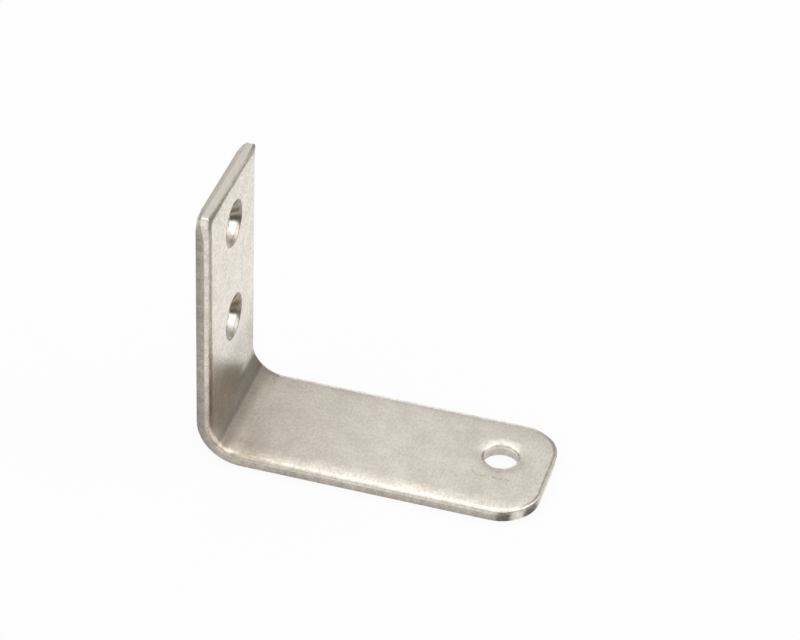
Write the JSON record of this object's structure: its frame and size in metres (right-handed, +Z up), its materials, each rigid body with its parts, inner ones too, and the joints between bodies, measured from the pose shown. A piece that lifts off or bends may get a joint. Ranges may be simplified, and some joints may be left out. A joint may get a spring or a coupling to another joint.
{
  "type": "mounting bracket",
  "caption": "Folded sheet-steel L-bracket: countersunk screw holes in the wall leg, a plain bolt hole near the rounded end of the base leg.",
  "frame": {"origin": "on the underside of the base leg, in the middle of the part's box", "axes": "+X from the wall leg towards the free end of the base leg, +Y across the strip, +Z up along the wall leg"},
  "size_m": [0.049, 0.02, 0.0415],
  "materials": {
    "steel": "satin, tumbled, with a fine mottled grain and sheared edges"
  },
  "bodies": {
    "root": {"bracket": "steel"}
  },
  "joints": []
}
